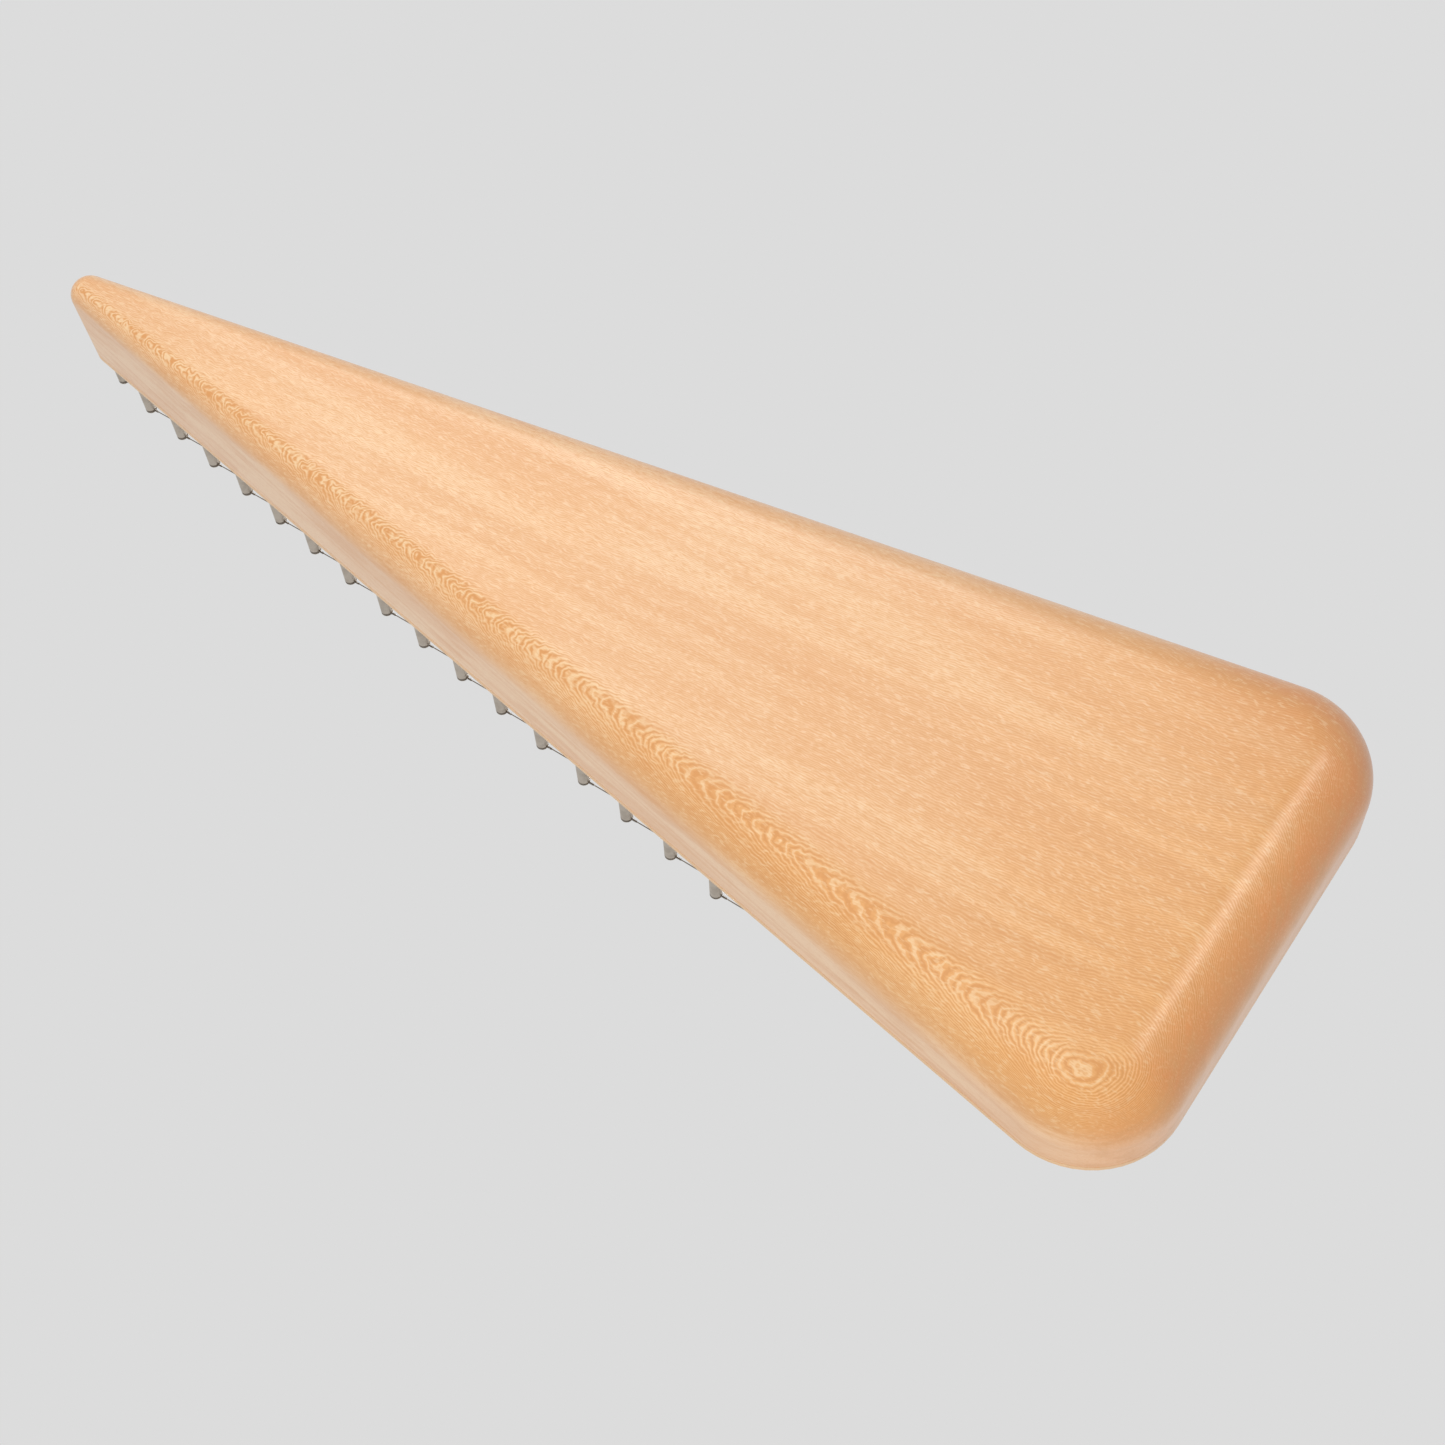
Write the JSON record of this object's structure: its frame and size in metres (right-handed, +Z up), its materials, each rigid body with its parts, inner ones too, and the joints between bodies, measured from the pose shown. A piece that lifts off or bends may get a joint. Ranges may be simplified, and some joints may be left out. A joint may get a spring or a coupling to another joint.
{
  "type": "bowed psaltery",
  "caption": "Triangular bowed psaltery with a carved round-backed lacewood body, flat soundboard, hitch pins along both long sides, bridge and turning tuning pins.",
  "frame": {"origin": "on the flat back, under the middle of the bounding box", "axes": "+Z up from the back through the soundboard, +Y along the strings towards the narrow tip, +X towards the side with the longer row of hitch pins"},
  "size_m": [0.204, 0.6, 0.0646],
  "materials": {
    "lacewood": "satin clear lacquer",
    "spruce": "satin clear lacquer",
    "beech_laminate": "raw",
    "brace_spruce": "raw",
    "walnut": "oiled",
    "rosewood": "oiled",
    "saddle_steel": "polished",
    "pin_nickel": "satin nickel",
    "wire_steel": "drawn wire",
    "tuning_steel": "nickel plated"
  },
  "bodies": {
    "body": {"body_shell": "lacewood", "soundboard": "spruce", "pin_block": "beech_laminate", "brace_lower": "brace_spruce", "brace_middle": "brace_spruce", "brace_upper": "brace_spruce", "rosette": "walnut", "bridge": "rosewood", "bridge_saddle": "saddle_steel", "hitch_pins_right": "pin_nickel", "hitch_pins_left": "pin_nickel", "strings_right": "wire_steel", "strings_left": "wire_steel"},
    "pin_01": {"tuning_pin_01": "tuning_steel"},
    "pin_02": {"tuning_pin_02": "tuning_steel"},
    "pin_03": {"tuning_pin_03": "tuning_steel"},
    "pin_04": {"tuning_pin_04": "tuning_steel"},
    "pin_05": {"tuning_pin_05": "tuning_steel"},
    "pin_06": {"tuning_pin_06": "tuning_steel"},
    "pin_07": {"tuning_pin_07": "tuning_steel"},
    "pin_08": {"tuning_pin_08": "tuning_steel"},
    "pin_09": {"tuning_pin_09": "tuning_steel"},
    "pin_10": {"tuning_pin_10": "tuning_steel"},
    "pin_11": {"tuning_pin_11": "tuning_steel"},
    "pin_12": {"tuning_pin_12": "tuning_steel"},
    "pin_13": {"tuning_pin_13": "tuning_steel"},
    "pin_14": {"tuning_pin_14": "tuning_steel"},
    "pin_15": {"tuning_pin_15": "tuning_steel"},
    "pin_16": {"tuning_pin_16": "tuning_steel"},
    "pin_17": {"tuning_pin_17": "tuning_steel"},
    "pin_18": {"tuning_pin_18": "tuning_steel"},
    "pin_19": {"tuning_pin_19": "tuning_steel"},
    "pin_20": {"tuning_pin_20": "tuning_steel"},
    "pin_21": {"tuning_pin_21": "tuning_steel"},
    "pin_22": {"tuning_pin_22": "tuning_steel"},
    "pin_23": {"tuning_pin_23": "tuning_steel"},
    "pin_24": {"tuning_pin_24": "tuning_steel"},
    "pin_25": {"tuning_pin_25": "tuning_steel"},
    "pin_26": {"tuning_pin_26": "tuning_steel"},
    "pin_27": {"tuning_pin_27": "tuning_steel"},
    "pin_28": {"tuning_pin_28": "tuning_steel"},
    "pin_29": {"tuning_pin_29": "tuning_steel"}
  },
  "joints": [
    {"name": "turn_pin_01", "type": "hinge", "parent": "body", "child": "pin_01", "pos_m": [-0.0682, -0.239, 0.044], "axis": [0, 0, -1], "range_deg": [-1000, 60]},
    {"name": "turn_pin_02", "type": "hinge", "parent": "body", "child": "pin_02", "pos_m": [-0.0625, -0.254, 0.044], "axis": [0, 0, -1], "range_deg": [-1000, 60]},
    {"name": "turn_pin_03", "type": "hinge", "parent": "body", "child": "pin_03", "pos_m": [-0.0568, -0.224, 0.044], "axis": [0, 0, -1], "range_deg": [-1000, 60]},
    {"name": "turn_pin_04", "type": "hinge", "parent": "body", "child": "pin_04", "pos_m": [-0.0511, -0.239, 0.044], "axis": [0, 0, -1], "range_deg": [-1000, 60]},
    {"name": "turn_pin_05", "type": "hinge", "parent": "body", "child": "pin_05", "pos_m": [-0.0454, -0.254, 0.044], "axis": [0, 0, -1], "range_deg": [-1000, 60]},
    {"name": "turn_pin_06", "type": "hinge", "parent": "body", "child": "pin_06", "pos_m": [-0.0397, -0.224, 0.044], "axis": [0, 0, -1], "range_deg": [-1000, 60]},
    {"name": "turn_pin_07", "type": "hinge", "parent": "body", "child": "pin_07", "pos_m": [-0.034, -0.239, 0.044], "axis": [0, 0, -1], "range_deg": [-1000, 60]},
    {"name": "turn_pin_08", "type": "hinge", "parent": "body", "child": "pin_08", "pos_m": [-0.0283, -0.254, 0.044], "axis": [0, 0, -1], "range_deg": [-1000, 60]},
    {"name": "turn_pin_09", "type": "hinge", "parent": "body", "child": "pin_09", "pos_m": [-0.0226, -0.224, 0.044], "axis": [0, 0, -1], "range_deg": [-1000, 60]},
    {"name": "turn_pin_10", "type": "hinge", "parent": "body", "child": "pin_10", "pos_m": [-0.0169, -0.239, 0.044], "axis": [0, 0, -1], "range_deg": [-1000, 60]},
    {"name": "turn_pin_11", "type": "hinge", "parent": "body", "child": "pin_11", "pos_m": [-0.0112, -0.254, 0.044], "axis": [0, 0, -1], "range_deg": [-1000, 60]},
    {"name": "turn_pin_12", "type": "hinge", "parent": "body", "child": "pin_12", "pos_m": [-0.0055, -0.224, 0.044], "axis": [0, 0, -1], "range_deg": [-1000, 60]},
    {"name": "turn_pin_13", "type": "hinge", "parent": "body", "child": "pin_13", "pos_m": [0.006, -0.239, 0.044], "axis": [0, 0, -1], "range_deg": [-1000, 60]},
    {"name": "turn_pin_14", "type": "hinge", "parent": "body", "child": "pin_14", "pos_m": [0.0102, -0.254, 0.044], "axis": [0, 0, -1], "range_deg": [-1000, 60]},
    {"name": "turn_pin_15", "type": "hinge", "parent": "body", "child": "pin_15", "pos_m": [0.0144, -0.224, 0.044], "axis": [0, 0, -1], "range_deg": [-1000, 60]},
    {"name": "turn_pin_16", "type": "hinge", "parent": "body", "child": "pin_16", "pos_m": [0.0186, -0.239, 0.044], "axis": [0, 0, -1], "range_deg": [-1000, 60]},
    {"name": "turn_pin_17", "type": "hinge", "parent": "body", "child": "pin_17", "pos_m": [0.0228, -0.254, 0.044], "axis": [0, 0, -1], "range_deg": [-1000, 60]},
    {"name": "turn_pin_18", "type": "hinge", "parent": "body", "child": "pin_18", "pos_m": [0.027, -0.224, 0.044], "axis": [0, 0, -1], "range_deg": [-1000, 60]},
    {"name": "turn_pin_19", "type": "hinge", "parent": "body", "child": "pin_19", "pos_m": [0.0312, -0.239, 0.044], "axis": [0, 0, -1], "range_deg": [-1000, 60]},
    {"name": "turn_pin_20", "type": "hinge", "parent": "body", "child": "pin_20", "pos_m": [0.0354, -0.254, 0.044], "axis": [0, 0, -1], "range_deg": [-1000, 60]},
    {"name": "turn_pin_21", "type": "hinge", "parent": "body", "child": "pin_21", "pos_m": [0.0396, -0.224, 0.044], "axis": [0, 0, -1], "range_deg": [-1000, 60]},
    {"name": "turn_pin_22", "type": "hinge", "parent": "body", "child": "pin_22", "pos_m": [0.0438, -0.239, 0.044], "axis": [0, 0, -1], "range_deg": [-1000, 60]},
    {"name": "turn_pin_23", "type": "hinge", "parent": "body", "child": "pin_23", "pos_m": [0.048, -0.254, 0.044], "axis": [0, 0, -1], "range_deg": [-1000, 60]},
    {"name": "turn_pin_24", "type": "hinge", "parent": "body", "child": "pin_24", "pos_m": [0.0522, -0.224, 0.044], "axis": [0, 0, -1], "range_deg": [-1000, 60]},
    {"name": "turn_pin_25", "type": "hinge", "parent": "body", "child": "pin_25", "pos_m": [0.0564, -0.239, 0.044], "axis": [0, 0, -1], "range_deg": [-1000, 60]},
    {"name": "turn_pin_26", "type": "hinge", "parent": "body", "child": "pin_26", "pos_m": [0.0606, -0.254, 0.044], "axis": [0, 0, -1], "range_deg": [-1000, 60]},
    {"name": "turn_pin_27", "type": "hinge", "parent": "body", "child": "pin_27", "pos_m": [0.0648, -0.224, 0.044], "axis": [0, 0, -1], "range_deg": [-1000, 60]},
    {"name": "turn_pin_28", "type": "hinge", "parent": "body", "child": "pin_28", "pos_m": [0.069, -0.239, 0.044], "axis": [0, 0, -1], "range_deg": [-1000, 60]},
    {"name": "turn_pin_29", "type": "hinge", "parent": "body", "child": "pin_29", "pos_m": [0.0732, -0.254, 0.044], "axis": [0, 0, -1], "range_deg": [-1000, 60]}
  ]
}
